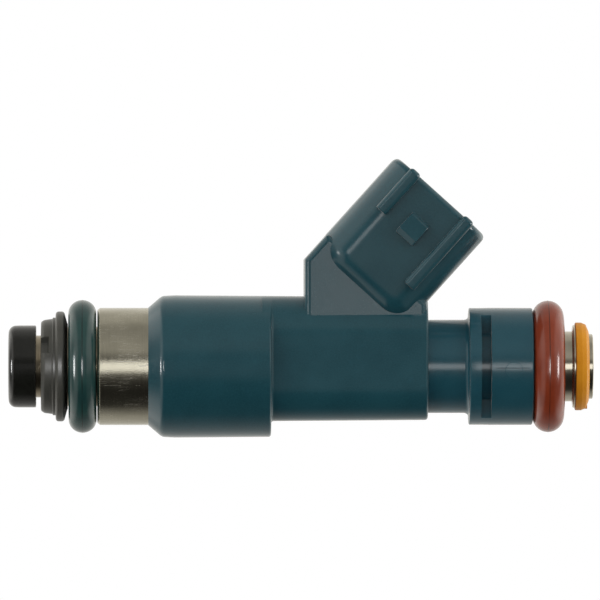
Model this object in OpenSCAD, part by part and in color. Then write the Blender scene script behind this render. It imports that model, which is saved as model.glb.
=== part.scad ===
// Top-feed solenoid fuel injector.
// The injector stands on its nozzle: +Z runs along its axis towards the fuel inlet, and the origin is
// the centre of the nozzle cap's end face. The electrical connector leans out towards -X, and its latch
// side faces -Y.
// Stations are heights above the cap's end face. Radii are measured from the injector's axis.

/* [Nozzle end] */
// Radius of the nozzle cap
cap_r = 4.55; // [4.45:0.05:4.7]
// Height of the nozzle cap
cap_len = 3.05; // [2.9:0.05:3.2]
// Radius of the rounded front edge of the cap
cap_edge_r = 1; // [0.6:0.1:1.1]
// Radius of the spray opening in the cap
spray_r = 1.6; // [1.4:0.1:1.8]
// Depth of the cap's floor around the spray opening
cap_floor = 0.9; // [0.8:0.05:0.95]
// Radius of the nozzle body where the cap and the spacer sit
tip_r = 3.44; // [3.4:0.02:3.5]
// Radius of the nozzle body under the lower O-ring
land_r = 4.42; // [4.4:0.01:4.45]
// Height of the top of the nozzle body, inside the housing
nozzle_top = 13; // [12.8:0.1:13.2]

/* [Lower spacer ring] */
// Height of the spacer's front face
spacer_base = 3.6; // [3.5:0.05:3.7]
// Radius of the spacer's hub
spacer_hub_r = 5.3; // [5.1:0.1:5.5]
// Radius of the spacer's flange
spacer_flange_r = 6.1; // [6:0.1:6.3]
// Height of the underside of the spacer's flange
spacer_flange_z = 5.2; // [5:0.1:5.3]
// Height where the spacer's flange ends and its back cone starts
spacer_cone_z = 6.2; // [6:0.1:6.3]
// Height of the spacer's back face
spacer_top = 6.55; // [6.4:0.05:6.55]

/* [Seals] */
// Outer radius of the lower O-ring
lower_seal_r = 7.38; // [7.3:0.02:7.4]
// Radius of the lower O-ring's section
lower_cord_r = 1.48; // [1.44:0.01:1.5]
// Height of the lower O-ring's centre
lower_seal_z = 8.13; // [8.1:0.01:8.2]
// Outer radius of the upper O-ring
upper_seal_r = 7.29; // [7.2:0.01:7.3]
// Radius of the upper O-ring's section
upper_cord_r = 1.74; // [1.68:0.01:1.74]
// Height of the upper O-ring's centre
upper_seal_z = 59.85; // [59.84:0.01:59.9]

/* [Steel housing] */
// Outer radius of the steel housing
housing_r = 6.5; // [6.4:0.05:6.6]
// Height of the housing's lower face
housing_base = 9.85; // [9.8:0.05:9.95]
// Height of the housing's floor, where the coil starts
coil_floor = 15; // [14.9:0.1:15.1]
// Radius of the coil chamber in the housing
chamber_r = 5.9; // [5.8:0.05:5.95]
// Height of the housing's upper rim
housing_top = 28.5; // [28.3:0.1:28.7]

/* [Overmold] */
// Height of the overmold's lower edge on the housing
mold_base = 15.5; // [15.3:0.1:15.7]
// Height where the lower cone reaches the barrel
cone_top = 17.1; // [17:0.1:17.3]
// Radius of the barrel around the housing
barrel_r = 7.9; // [7.8:0.05:7.96]
// Height of the barrel's upper face
barrel_top = 29.1; // [29:0.1:29.3]
// Height of the middle block's upper face
block_top = 46.45; // [46.3:0.05:46.6]
// Half width of the middle block
block_half_w = 5.9; // [5.8:0.1:6]
// Distance from the axis to the block's plain side
block_back = 6.05; // [5.95:0.05:6.15]
// Distance from the axis to the block's connector side
block_front = 7.82; // [7.7:0.02:7.86]
// Radius of the neck under the collar
neck_r = 5.17; // [5.1:0.01:5.2]
// Height of the collar's lower face
collar_base = 51.05; // [50.9:0.05:51.2]
// Height of the clip slot's lower face
slot_base = 52.35; // [52.3:0.05:52.4]
// Height of the clip slot's upper face
slot_top = 53.45; // [53.4:0.05:53.5]
// Radius of the collar
collar_r = 6.5; // [6.4:0.02:6.56]
// Height of the collar's upper face
collar_top = 58.1; // [58:0.02:58.12]

/* [Connector] */
// Angle between the connector's axis and the injector's axis, in degrees
lean = 48; // [46:1:50]
// Height of the point where the connector's axis crosses the injector's axis
lean_z = 30.98; // [30.9:0.02:31.1]
// Width of the connector shell, across both terminals
shell_w = 13.3; // [13:0.1:13.5]
// Depth of the connector shell, from latch side to back
shell_d = 12.4; // [12.2:0.1:12.6]
// Distance along the connector's axis to the closed end of the shell
shell_near = 11.4; // [11.2:0.1:11.6]
// Distance along the connector's axis to the mouth
shell_far = 25.3; // [25.1:0.05:25.4]
// Wall thickness of the shell
shell_wall = 1.3; // [1.2:0.1:1.4]
// Thickness of the closed end under the socket
shell_floor = 5.1; // [5:0.1:5.3]
// Corner radius of the shell's section
shell_corner_r = 3.6; // [3.2:0.1:4]
// Half depth of the web that carries the shell
web_half_d = 4.7; // [4.6:0.1:4.8]
// Distance along the connector's axis that the web runs up beside the shell
web_reach = 13.8; // [13.6:0.1:14]
// Height of the web's lower face
web_base = 32.78; // [32.6:0.02:32.9]
// Distance between the centres of the two guide ribs
rib_gap = 7.86; // [7.7:0.1:8]
// Width of a guide rib
rib_w = 1.45; // [1.3:0.05:1.6]
// Height of a guide rib above the shell
rib_h = 1; // [0.8:0.1:1.2]
// Length of the short guide rib
short_rib = 5.9; // [5.5:0.1:6.5]
// Length of the long guide rib
long_rib = 10; // [9.5:0.1:10.5]
// Distance from the mouth to the middle of the latch
latch_back = 4.9; // [4.5:0.1:5.2]
// Length of the latch along the connector's axis
latch_len = 2.7; // [2.5:0.1:3]
// Width of the latch
latch_w = 2.5; // [2.3:0.1:2.8]
// Distance between the two terminal blades
pin_gap = 4.6; // [4.4:0.1:5]
// Width of a terminal blade
pin_w = 1.5; // [1.3:0.1:1.7]
// Thickness of a terminal blade
pin_t = 0.64; // [0.6:0.02:0.7]
// Distance of the blade tips behind the mouth
pin_recess = 3.5; // [3.4:0.1:4]

/* [Inlet] */
// Outer radius of the inlet tube
tube_r = 3.89; // [3.88:0.01:3.9]
// Height of the inlet tube's rim, which is the injector's full length
tube_top = 64.8; // [64.7:0.1:64.9]
// Radius of the inlet opening above the filter
entry_r = 3; // [3:0.05:3.1]
// Depth of the inlet opening, down to the filter's bore
entry_depth = 1.9; // [1.8:0.1:2]
// Radius of the bore that the filter is pressed into
inlet_r = 2.8; // [2.7:0.05:2.8]
// Depth of the filter's brass ring below the rim
filter_depth = 2.1; // [2.1:0.1:2.3]
// Radius of the bead rolled on the inlet tube
bead_r = 4.6; // [4.5:0.05:4.7]
// Outer radius of the O-ring retainer
retainer_r = 4.87; // [4.8:0.01:4.9]
// Height of the retainer's lower face
retainer_base = 62.85; // [62.8:0.05:62.9]
// Height of the retainer's upper face
retainer_top = 64.35; // [64.3:0.05:64.4]

/* [Valve] */
// Lift of the needle
lift = 0.1; // [0.08:0.01:0.12]
// Radius of the valve ball
ball_r = 1.25; // [1.2:0.05:1.3]
// Radius of the needle's stem
needle_r = 1.1; // [1:0.05:1.1]
// Radius of the needle's stop collar
stop_r = 1.92; // [1.88:0.01:1.94]
// Radius of the armature
armature_r = 3.45; // [3.42:0.01:3.45]
// Number of spray holes in the orifice plate
spray_holes = 4; // [2:1:6]
// Number of turns in the return spring
spring_turns = 8; // [6:1:9]
// Radius of the spring's wire
wire_r = 0.25; // [0.2:0.01:0.26]

/* [Hidden] */
$fn = 96;

cut = 0.1;                 // overshoot that keeps cuts clear of shared faces
running_gap = 0.05;        // radial clearance of the parts that slide
seat_gap = 0.02;           // clearance kept under the closed ball

// Stack of plates pressed into the nozzle tip
plate_r = 2.7;
plate_t = 0.25;
plate_z = cap_floor;
seat_z = plate_z + plate_t;
seat_t = 1.25;
guide_t = 0.7;
guide_z = seat_z + seat_t;
pocket_top = guide_z + guide_t;
bore_r = 2;

// The ball rests in a 90 degree cone that opens from the seat's outlet hole
outlet_r = 0.5;
outlet_len = 0.3;
cone_apex = seat_z + outlet_len - outlet_r;
ball_z = cone_apex + ball_r * sqrt(2) + seat_gap;

// Needle, stop and armature
needle_base = ball_z + ball_r / 2;
stop_gap = 0.02;
shim_t = 1;
shim_z = nozzle_top;
sleeve_z = shim_z + shim_t;
sleeve_top = 22;
sleeve_r = 3.9;
sleeve_bore = armature_r + running_gap;
stop_top = shim_z - lift - stop_gap;
armature_base = 15.2;
armature_top = 19;
armature_seat = 16.8;
pole_z = armature_top + lift + 0.05;
spring_bore = 1.75;

// Coil
bobbin_base = coil_floor + 0.2;
bobbin_top = 26.9;
bobbin_flange = 0.8;
bobbin_hub = 4.4;
bobbin_r = 5.85;
winding_r = 5.7;
post_x = 4.9;
post_y = 1.2;

// Spring and its adjuster
adjuster_z = 25.2;
adjuster_top = 32;
adjuster_r = 1.9;
spring_r = 1.4;

// Filter
filter_top = tube_top - filter_depth;
filter_base = filter_top - 12;
filter_r = 2.35;
cage_t = 2;

// Connector frame: the shell's centre line is offset across the lean
socket_w = shell_w - 2 * shell_wall;
socket_d = shell_d - 2 * shell_wall;
socket_floor = shell_near + shell_floor;

// A ring between two heights
module ring(r_out, r_in, z_low, z_high) {
    translate([0, 0, z_low])
        difference() {
            cylinder(h = z_high - z_low, r = r_out);
            translate([0, 0, -cut]) cylinder(h = z_high - z_low + 2 * cut, r = r_in);
        }
}

// A round rod between two heights
module rod(r, z_low, z_high) {
    translate([0, 0, z_low]) cylinder(h = z_high - z_low, r = r);
}

// A box centred on X and Y between two heights
module post(x, y, size_x, size_y, z_low, z_high) {
    translate([x - size_x / 2, y - size_y / 2, z_low]) cube([size_x, size_y, z_high - z_low]);
}

// A rectangle centred on the origin with round corners
module round_rect(w, d, r) {
    square([w - 2 * r, d], center = true);
    square([w, d - 2 * r], center = true);
    for (sx = [-1, 1], sy = [-1, 1])
        translate([sx * (w / 2 - r), sy * (d / 2 - r)]) circle(r);
}

// Places children in the connector's own frame, where +Z points out of the mouth and +X across it
module on_connector() {
    translate([0, 0, lean_z]) rotate([0, -lean, 0]) children();
}

module nozzle_cap() {
    color([0.07, 0.08, 0.07])
        difference() {
            union() {
                rod(cap_r, cap_edge_r, cap_len);
                rod(cap_r - cap_edge_r, 0, cap_edge_r + cut);
                rotate_extrude()
                    intersection() {
                        translate([cap_r - cap_edge_r, cap_edge_r]) circle(cap_edge_r);
                        translate([cap_r - cap_edge_r, 0]) square([cap_edge_r, cap_edge_r + cut / 2]);
                    }
            }
            rod(spray_r, -cut, cap_floor + cut);
            rod(tip_r, cap_floor, cap_len + cut);
        }
}

module orifice_plate() {
    hole_r = 0.14;
    color([0.7, 0.7, 0.68])
        difference() {
            rod(plate_r, plate_z, seat_z);
            for (i = [0 : spray_holes - 1])
                rotate([0, 0, 360 * i / spray_holes + 45])
                    translate([outlet_r / 2, 0, plate_z - cut])
                cylinder(h = plate_t + 2 * cut, r = hole_r, $fn = 24);
        }
}

module valve_seat() {
    color([0.62, 0.61, 0.58])
        rotate_extrude()
            polygon([
                [outlet_r, seat_z],
                [plate_r, seat_z],
                [plate_r, guide_z],
                [guide_z - cone_apex, guide_z],
                [outlet_r, cone_apex + outlet_r]
            ]);
}

module needle_guide() {
    slot_r = 0.4;
    slots = 4;
    color([0.66, 0.65, 0.62])
        difference() {
            ring(plate_r, ball_r + running_gap, guide_z, pocket_top);
            for (i = [0 : slots - 1])
                rotate([0, 0, 360 * i / slots])
                    translate([ball_r + slot_r / 2, 0, guide_z - cut])
                        cylinder(h = guide_t + 2 * cut, r = slot_r, $fn = 32);
        }
}

module nozzle_body() {
    color([0.55, 0.5, 0.44])
        rotate_extrude()
            polygon([
                [plate_r, cap_floor],
                [tip_r, cap_floor],
                [tip_r, spacer_cone_z],
                [land_r, spacer_cone_z],
                [land_r, nozzle_top],
                [bore_r, nozzle_top],
                [bore_r, pocket_top],
                [plate_r, pocket_top]
            ]);
}

module lower_spacer_ring() {
    edge = 0.35;
    notch_w = 1.6;
    notch_top = 4.3;
    color([0.27, 0.28, 0.27])
        difference() {
            rotate_extrude()
                polygon([
                    [tip_r, spacer_base],
                    [spacer_hub_r - 2 * edge, spacer_base],
                    [spacer_hub_r - edge / 2, spacer_base + edge],
                    [spacer_hub_r, spacer_flange_z],
                    [spacer_flange_r - edge, spacer_flange_z],
                    [spacer_flange_r, spacer_flange_z + edge],
                    [spacer_flange_r, spacer_cone_z - edge],
                    [spacer_flange_r - edge, spacer_cone_z],
                    [land_r + edge, spacer_top],
                    [land_r, spacer_top],
                    [land_r, spacer_cone_z],
                    [tip_r, spacer_cone_z]
                ]);
            rotate([0, 0, -119])
                translate([spacer_hub_r - 2 * edge, -notch_w / 2, spacer_base - cut])
                    cube([notch_w, notch_w, notch_top - spacer_base + cut]);
        }
}

module lower_o_ring() {
    color([0.12, 0.24, 0.23])
        translate([0, 0, lower_seal_z])
            difference() {
                rotate_extrude() translate([lower_seal_r - lower_cord_r, 0]) circle(lower_cord_r);
                rod(land_r, -lower_cord_r - cut, lower_cord_r + cut);
            }
}

module valve_ball() {
    color([0.78, 0.78, 0.76]) translate([0, 0, ball_z]) sphere(ball_r);
}

module needle() {
    fuel_r = 0.55;
    cross_r = 0.35;
    cross_z = 6;
    collar_t = 0.9;
    color([0.6, 0.6, 0.58])
        difference() {
            union() {
                rod(needle_r, needle_base, armature_seat - 0.2);
                rod(stop_r, stop_top - collar_t, stop_top);
            }
            translate([0, 0, ball_z]) sphere(ball_r);
            rod(fuel_r, cross_z - 0.8, armature_seat);
            translate([0, 0, cross_z])
                rotate([90, 0, 0])
                    cylinder(h = 4 * needle_r, r = cross_r, center = true);
        }
}

module lift_stop_shim() {
    hole_r = 1.3;
    color([0.5, 0.5, 0.49])
        difference() {
            ring(land_r, hole_r, shim_z, sleeve_z);
            translate([0, -hole_r, shim_z - cut]) cube([land_r + cut, 2 * hole_r, shim_t + 2 * cut]);
        }
}

module armature() {
    port_r = 0.5;
    port_gap = 2.6;
    color([0.5, 0.5, 0.5])
        difference() {
            ring(armature_r, needle_r, armature_base, armature_top);
            rod(spring_bore, armature_seat, armature_top + cut);
            for (i = [0 : 3])
                rotate([0, 0, 90 * i + 45])
                    translate([port_gap, 0, armature_base - cut])
                        cylinder(h = armature_top - armature_base + 2 * cut, r = port_r, $fn = 32);
        }
}

module nonmagnetic_sleeve() {
    foot_t = 0.6;
    color([0.66, 0.66, 0.64]) {
        ring(sleeve_r, sleeve_bore, sleeve_z, sleeve_top);
        ring(land_r, sleeve_r - cut, sleeve_z, sleeve_z + foot_t);
    }
}

module steel_housing() {
    chamfer = 0.3;
    color([0.56, 0.55, 0.5])
        rotate_extrude()
            polygon([
                [land_r, housing_base],
                [housing_r - chamfer, housing_base],
                [housing_r, housing_base + chamfer],
                [housing_r, housing_top],
                [chamber_r, housing_top],
                [chamber_r, coil_floor],
                [land_r, coil_floor]
            ]);
}

module coil_bobbin() {
    bore = sleeve_r + 0.05;
    post_w = 1.3;
    post_top = 28.3;
    color([0.72, 0.68, 0.56])
        difference() {
            union() {
                ring(bobbin_hub, bore, bobbin_base, bobbin_top);
                ring(bobbin_r, bore, bobbin_base, bobbin_base + bobbin_flange);
                ring(bobbin_r, bore, bobbin_top - bobbin_flange, bobbin_top);
                for (side = [-1, 1])
                    post(-post_x, side * post_y, post_w, post_w, bobbin_top - bobbin_flange, post_top);
            }
            terminal_solids();
        }
}

module coil_winding() {
    color([0.66, 0.33, 0.16])
        ring(winding_r, bobbin_hub, bobbin_base + bobbin_flange, bobbin_top - bobbin_flange);
}

module flux_washer() {
    notch_w = 4.2;
    notch_in = 3.8;
    color([0.48, 0.48, 0.46])
        difference() {
            ring(chamber_r, tube_r, bobbin_top, housing_top);
            translate([-chamber_r - cut, -notch_w / 2, bobbin_top - cut])
                cube([chamber_r + cut - notch_in, notch_w, housing_top - bobbin_top + 2 * cut]);
        }
}

// One terminal: a blade in the socket, a step to its own side, a slanted link and a foot in the bobbin
module terminal_solid(side) {
    link_w = 1;
    step_z = socket_floor - 2.4;
    step_t = 1;
    foot_z = bobbin_top - 0.6;
    across = side * pin_gap / 2;
    blade_tip = shell_far - pin_recess;
    // where the slanted link's centre line comes down to the foot
    link_base = (post_x + across * cos(lean)) / sin(lean);
    foot_top = lean_z + link_base * cos(lean) + across * sin(lean);
    on_connector() {
        post(across, 0, pin_w, pin_t, step_z, blade_tip);
        post(across, side * post_y / 2, link_w, post_y + pin_t, step_z, step_z + step_t);
        post(across, side * post_y, link_w, pin_t, link_base, step_z + step_t);
    }
    post(-post_x, side * post_y, link_w, pin_t, foot_z, foot_top + link_w / 2);
}

module terminal_solids() {
    terminal_solid(-1);
    terminal_solid(1);
}

module terminal_1() {
    color([0.75, 0.74, 0.7]) terminal_solid(-1);
}

module terminal_2() {
    color([0.75, 0.74, 0.7]) terminal_solid(1);
}

// Points round the wire at one step of the helix
function wire_ring(angle, z, sides) = [
    for (k = [0 : sides - 1])
        let (a = 360 * k / sides, r = spring_r + wire_r * cos(a))
        [r * cos(angle), r * sin(angle), z + wire_r * sin(a)]
];

module return_spring() {
    sides = 6;
    steps_a_turn = 20;
    steps = spring_turns * steps_a_turn;
    z_low = armature_seat + 0.03 + wire_r;
    z_high = adjuster_z - 0.03 - wire_r;
    points = [
        for (i = [0 : steps])
            each wire_ring(360 * i / steps_a_turn, z_low + (z_high - z_low) * i / steps, sides)
    ];
    walls = [
        for (i = [0 : steps - 1], k = [0 : sides - 1])
            let (n = (k + 1) % sides)
            each [
                [i * sides + k, (i + 1) * sides + k, (i + 1) * sides + n],
                [i * sides + k, (i + 1) * sides + n, i * sides + n]
            ]
    ];
    ends = [
        [for (k = [0 : sides - 1]) k],
        [for (k = [0 : sides - 1]) (steps + 1) * sides - 1 - k]
    ];
    color([0.6, 0.6, 0.6]) polyhedron(points, concat(walls, ends), convexity = 10);
}

module spring_adjuster() {
    bore = 1.1;
    color([0.62, 0.62, 0.6]) ring(adjuster_r, bore, adjuster_z, adjuster_top);
}

module inlet_tube() {
    bead_z = 62.4;
    rim_round = 0.45;
    seat_r = 3.6;
    color([0.6, 0.59, 0.56])
        rotate_extrude()
            polygon([
                [adjuster_r, pole_z],
                [sleeve_bore, pole_z],
                [sleeve_bore, sleeve_top],
                [tube_r, sleeve_top],
                [tube_r, bead_z],
                [bead_r, retainer_base - 0.15],
                [bead_r, retainer_base],
                [seat_r, retainer_base],
                [seat_r, tube_top - rim_round],
                [seat_r - rim_round * 0.3, tube_top - rim_round * 0.3],
                [seat_r - rim_round, tube_top],
                [entry_r + 0.1, tube_top],
                [entry_r, tube_top - 0.1],
                [entry_r, tube_top - entry_depth],
                [inlet_r, tube_top - entry_depth],
                [inlet_r, filter_base - 1],
                [adjuster_r + 0.4, filter_base - 2],
                [adjuster_r + 0.4, adjuster_top + 1],
                [adjuster_r, adjuster_top + 1]
            ]);
}

// The lower cone and the barrel around the housing
module mold_barrel() {
    lip = 0.05;
    edge = 0.3;
    rotate_extrude()
        polygon([
            [0, mold_base],
            [housing_r + lip, mold_base],
            [barrel_r, cone_top],
            [barrel_r, barrel_top - edge],
            [barrel_r - edge, barrel_top],
            [0, barrel_top]
        ]);
}

// The block between the barrel and the neck, flat at its latch side and rounder towards its plain side
module mold_block() {
    front_r = 4.6;
    back_r = 4;
    translate([0, 0, barrel_top - cut])
        linear_extrude(height = block_top - barrel_top + cut) {
            translate([-block_front + front_r, -block_half_w])
                square([block_front - front_r + block_back - back_r, 2 * block_half_w]);
            translate([-block_front, -block_half_w + front_r])
                square([front_r, 2 * (block_half_w - front_r)]);
            translate([block_back - back_r, -block_half_w + back_r])
                square([back_r, 2 * (block_half_w - back_r)]);
            for (side = [-1, 1]) {
                translate([-block_front + front_r, side * (block_half_w - front_r)]) circle(front_r);
                translate([block_back - back_r, side * (block_half_w - back_r)]) circle(back_r);
            }
        }
}

// The flat web that carries the connector shell
module mold_web() {
    root = 4;
    half_w = shell_w / 2;
    // corners of the web in the plane of the connector: distance towards -X, then height
    left_x = web_reach * sin(lean) + half_w * cos(lean);
    left_z = lean_z + web_reach * cos(lean) - half_w * sin(lean);
    side_x = left_x - (left_z - web_base) * tan(lean);
    right_x = web_reach * sin(lean) - half_w * cos(lean);
    right_z = lean_z + web_reach * cos(lean) + half_w * sin(lean);
    edge_x = right_x + (block_top - right_z) * tan(lean);
    rotate([90, 0, 0])
        linear_extrude(height = 2 * web_half_d, center = true)
            polygon([
                [-root, web_base],
                [-side_x, web_base],
                [-left_x, left_z],
                [-edge_x, block_top],
                [-root, block_top]
            ]);
}

// The connector shell with its ribs and latch, in the connector's own frame
module mold_shell() {
    near_r = 2.1;
    rib_low = shell_d / 2 - 1;
    rib_proud = 0.2;
    latch_h = 1.3;
    latch_z = shell_far - latch_back;
    translate([0, 0, shell_near + near_r])
        linear_extrude(height = shell_far - shell_near - near_r)
            round_rect(shell_w, shell_d, shell_corner_r);
    // stepped rounding of the closed end
    for (i = [0 : 2]) {
        a = 15 + 30 * i;
        translate([0, 0, shell_near + near_r * (1 - cos(a))])
            linear_extrude(height = near_r)
                round_rect(shell_w - 2 * near_r * (1 - sin(a)), shell_d - 2 * near_r * (1 - sin(a)),
                    shell_corner_r - near_r + near_r * sin(a));
    }
    for (side = [-1, 1]) {
        rib = side < 0 ? short_rib : long_rib;
        translate([side * rib_gap / 2 - rib_w / 2, -shell_d / 2 - rib_h, shell_far + rib_proud - rib])
            cube([rib_w, shell_d / 2 + rib_h - rib_low, rib]);
    }
    translate([-latch_w / 2, 0, latch_z])
        rotate([90, 0, 90])
            linear_extrude(height = latch_w)
                polygon([
                    [-shell_d / 2 + 0.3, -latch_len / 2],
                    [-shell_d / 2 - latch_h, -latch_len / 2 + 0.3],
                    [-shell_d / 2 - latch_h, -latch_len / 2 + 0.6],
                    [-shell_d / 2 + 0.3, latch_len / 2 + 0.4]
                ]);
}

// The neck and the collar under the upper O-ring, with the slots for the rail clip
module mold_neck() {
    flare = 0.6;
    edge = 0.15;
    slot_half_x = 5.74;
    slot_half_y = 2.8;
    slot_core_r = 4.6;
    difference() {
        rotate_extrude()
            polygon([
                [0, block_top - cut],
                [neck_r, block_top - cut],
                [neck_r, collar_base - flare],
                [neck_r + flare, collar_base],
                [collar_r - edge, collar_base],
                [collar_r, collar_base + edge],
                [collar_r, collar_top - edge],
                [collar_r - edge, collar_top],
                [0, collar_top]
            ]);
        translate([0, 0, slot_base])
            linear_extrude(height = slot_top - slot_base)
                for (side = [-1, 1])
                    difference() {
                        translate([-slot_half_x, side < 0 ? -2 * slot_half_x - slot_half_y : slot_half_y])
                            square(2 * slot_half_x);
                        circle(slot_core_r);
                    }
    }
}

module overmold_body() {
    color([0.16, 0.29, 0.32])
        difference() {
            union() {
                mold_barrel();
                mold_block();
                mold_web();
                mold_neck();
                on_connector() mold_shell();
            }
            // room for the housing, the flux washer, the coil's posts and the inlet tube
            rod(housing_r, mold_base - cut, housing_top);
            rod(tube_r, mold_base, collar_top + cut);
            // the socket
            on_connector()
                translate([0, 0, socket_floor])
                    linear_extrude(height = shell_far - socket_floor + cut)
                        round_rect(socket_w, socket_d, shell_corner_r - shell_wall);
            terminal_solids();
        }
}

module upper_o_ring() {
    color([0.45, 0.23, 0.15])
        translate([0, 0, upper_seal_z])
            difference() {
                rotate_extrude() translate([upper_seal_r - upper_cord_r, 0]) circle(upper_cord_r);
                rod(tube_r, -upper_cord_r - cut, upper_cord_r + cut);
            }
}

module o_ring_retainer() {
    edge = 0.2;
    bevel = 0.85;
    seat_r = 3.6;
    color([0.75, 0.5, 0.14])
        rotate_extrude()
            polygon([
                [seat_r, retainer_base],
                [retainer_r - edge / 2, retainer_base],
                [retainer_r, retainer_base + edge / 2],
                [retainer_r, retainer_base + 0.65],
                [retainer_r - edge, retainer_top - 0.35],
                [retainer_r - bevel, retainer_top],
                [seat_r, retainer_top]
            ]);
}

module filter_ring() {
    color([0.7, 0.56, 0.3]) ring(inlet_r, filter_r, filter_top - cage_t, filter_top);
}

module filter_frame() {
    rib_t = 0.5;
    floor_t = 0.8;
    ribs = 3;
    band = 0.9;
    frame_top = filter_top - cage_t;
    color([0.2, 0.2, 0.2]) {
        rod(filter_r, filter_base, filter_base + floor_t);
        ring(filter_r, filter_r - rib_t, frame_top - band, frame_top + cut);
        for (i = [0 : ribs - 1])
            rotate([0, 0, 360 * i / ribs])
                post(filter_r - rib_t / 2 - 0.05, 0, rib_t, rib_t, filter_base, frame_top);
    }
}

module filter_mesh() {
    sheet = 0.12;
    mesh_r = filter_r - 0.55;
    frame_top = filter_top - cage_t;
    color([0.8, 0.8, 0.76]) ring(mesh_r, mesh_r - sheet, filter_base + 0.8, frame_top);
}

nozzle_cap();
orifice_plate();
valve_seat();
needle_guide();
nozzle_body();
lower_spacer_ring();
lower_o_ring();
valve_ball();
needle();
lift_stop_shim();
armature();
nonmagnetic_sleeve();
steel_housing();
coil_bobbin();
coil_winding();
flux_washer();
terminal_1();
terminal_2();
return_spring();
spring_adjuster();
inlet_tube();
overmold_body();
upper_o_ring();
o_ring_retainer();
filter_ring();
filter_frame();
filter_mesh();
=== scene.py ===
"""Looks of a top-feed fuel injector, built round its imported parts, from the spray plate to the inlet filter."""

import bpy
import numpy as np
from mathutils import Matrix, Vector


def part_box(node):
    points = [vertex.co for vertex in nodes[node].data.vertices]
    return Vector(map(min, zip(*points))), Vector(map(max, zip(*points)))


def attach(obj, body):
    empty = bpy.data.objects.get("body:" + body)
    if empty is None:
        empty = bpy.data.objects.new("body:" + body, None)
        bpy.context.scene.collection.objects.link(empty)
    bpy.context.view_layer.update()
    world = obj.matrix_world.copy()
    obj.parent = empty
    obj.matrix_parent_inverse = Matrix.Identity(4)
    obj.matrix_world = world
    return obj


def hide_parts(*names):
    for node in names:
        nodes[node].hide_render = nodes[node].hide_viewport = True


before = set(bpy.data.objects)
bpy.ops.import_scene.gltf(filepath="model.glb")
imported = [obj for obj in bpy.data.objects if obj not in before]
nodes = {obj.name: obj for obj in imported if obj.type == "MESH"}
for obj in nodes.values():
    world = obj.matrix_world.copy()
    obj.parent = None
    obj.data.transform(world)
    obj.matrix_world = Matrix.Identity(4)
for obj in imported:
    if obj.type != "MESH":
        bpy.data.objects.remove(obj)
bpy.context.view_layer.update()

# ---- Spray plate, seat, guide, lift stop and adjuster -------------------------------------------------
# Small stainless discs, ground flat and pressed or welded into the nozzle, and the tube that sets the
# spring's load. They stay as packed, and get the finish of ground stainless steel.


class Wire:
    """A number or colour that varies over a surface. Sums and products of wires add Math nodes."""

    def __init__(self, graph, socket):
        self.graph = graph
        self.socket = socket

    def maths(self, operation, first, second):
        return self.graph.add("ShaderNodeMath", {"operation": operation}, {0: first, 1: second})

    def __add__(self, other):
        return self.maths("ADD", self, other)

    def __sub__(self, other):
        return self.maths("SUBTRACT", self, other)

    def __rsub__(self, other):
        return self.maths("SUBTRACT", other, self)

    def __mul__(self, other):
        return self.maths("MULTIPLY", self, other)

    def __abs__(self):
        return self.maths("ABSOLUTE", self, 0.0)

    __radd__ = __add__
    __rmul__ = __mul__

    def most(self, other):
        return self.maths("MAXIMUM", self, other)

    def rise(self, low, high):
        """0 below low, 1 above high, and a smooth step between."""
        return self.graph.add(
            "ShaderNodeMapRange",
            {"interpolation_type": "SMOOTHSTEP"},
            {"Value": self, "From Min": low, "From Max": high},
        )


class Graph:
    """A node tree that is written as expressions."""

    def __init__(self, tree):
        self.tree = tree

    def add(self, kind, settings, inputs, output=0):
        """Adds one node: its settings first, then the values or wires of its sockets. Returns one output."""
        node = self.tree.nodes.new(kind)
        for key, value in settings.items():
            if key == "stops":
                elements = node.color_ramp.elements
                while len(elements) < len(value):
                    elements.new(0.5)
                for element, (place, level) in zip(elements, value):
                    element.position = place
                    element.color = (level, level, level, 1)
            else:
                setattr(node, key, value)
        for key, value in inputs.items():
            if isinstance(value, Wire):
                self.tree.links.new(value.socket, node.inputs[key])
            else:
                node.inputs[key].default_value = value
        return Wire(self, node.outputs[output]) if node.outputs else None


def srgb(red, green, blue):
    """The shader colour of a tone that the eye sees as these three 0 to 255 levels."""
    tone = np.array([red, green, blue]) / 255
    linear = np.where(tone <= 0.04045, tone / 12.92, ((tone + 0.055) / 1.055) ** 2.4)
    return (*linear.tolist(), 1.0)


class Finish(Graph):
    """One material: a Principled shader whose uniform values are keywords, and whose textures are wires."""

    def __init__(self, name, **values):
        self.material = bpy.data.materials.new(name)
        self.material.use_nodes = True
        super().__init__(self.material.node_tree)
        self.shader = self.tree.nodes["Principled BSDF"]
        self.place = self.add("ShaderNodeTexCoord", {}, {}, "Object")
        for key, value in values.items():
            self.shader.inputs[key.replace("_", " ").title()].default_value = value

    def feed(self, socket, wire):
        self.tree.links.new(wire.socket, self.shader.inputs[socket])

    def along(self, axis):
        """Distance along an axis of the injector, in millimetres."""
        return self.add("ShaderNodeSeparateXYZ", {}, {"Vector": self.place}, axis) * 1000.0

    def noise(self, size, detail=2.0, stretch=(1, 1, 1)):
        """Cloudy noise from 0 to 1 whose patches are about size millimetres, drawn out where stretch is large."""
        scale = tuple(1000.0 / (size * s) for s in stretch)
        where = self.add("ShaderNodeVectorMath", {"operation": "MULTIPLY"}, {0: self.place, 1: scale})
        return self.add("ShaderNodeTexNoise", {}, {"Vector": where, "Scale": 1.0, "Detail": detail})

    def blend(self, first, second, factor):
        """A colour between two colours."""
        return self.add(
            "ShaderNodeMix", {"data_type": "RGBA"}, {"Factor": factor, 6: first, 7: second}, 2
        )

    def relief(self, height, depth):
        """Turns a 0 to 1 height into bumps that are depth millimetres deep."""
        return self.feed(
            "Normal",
            self.add("ShaderNodeBump", {}, {"Height": height, "Distance": depth / 1000, "Strength": 1.0}),
        )


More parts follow.
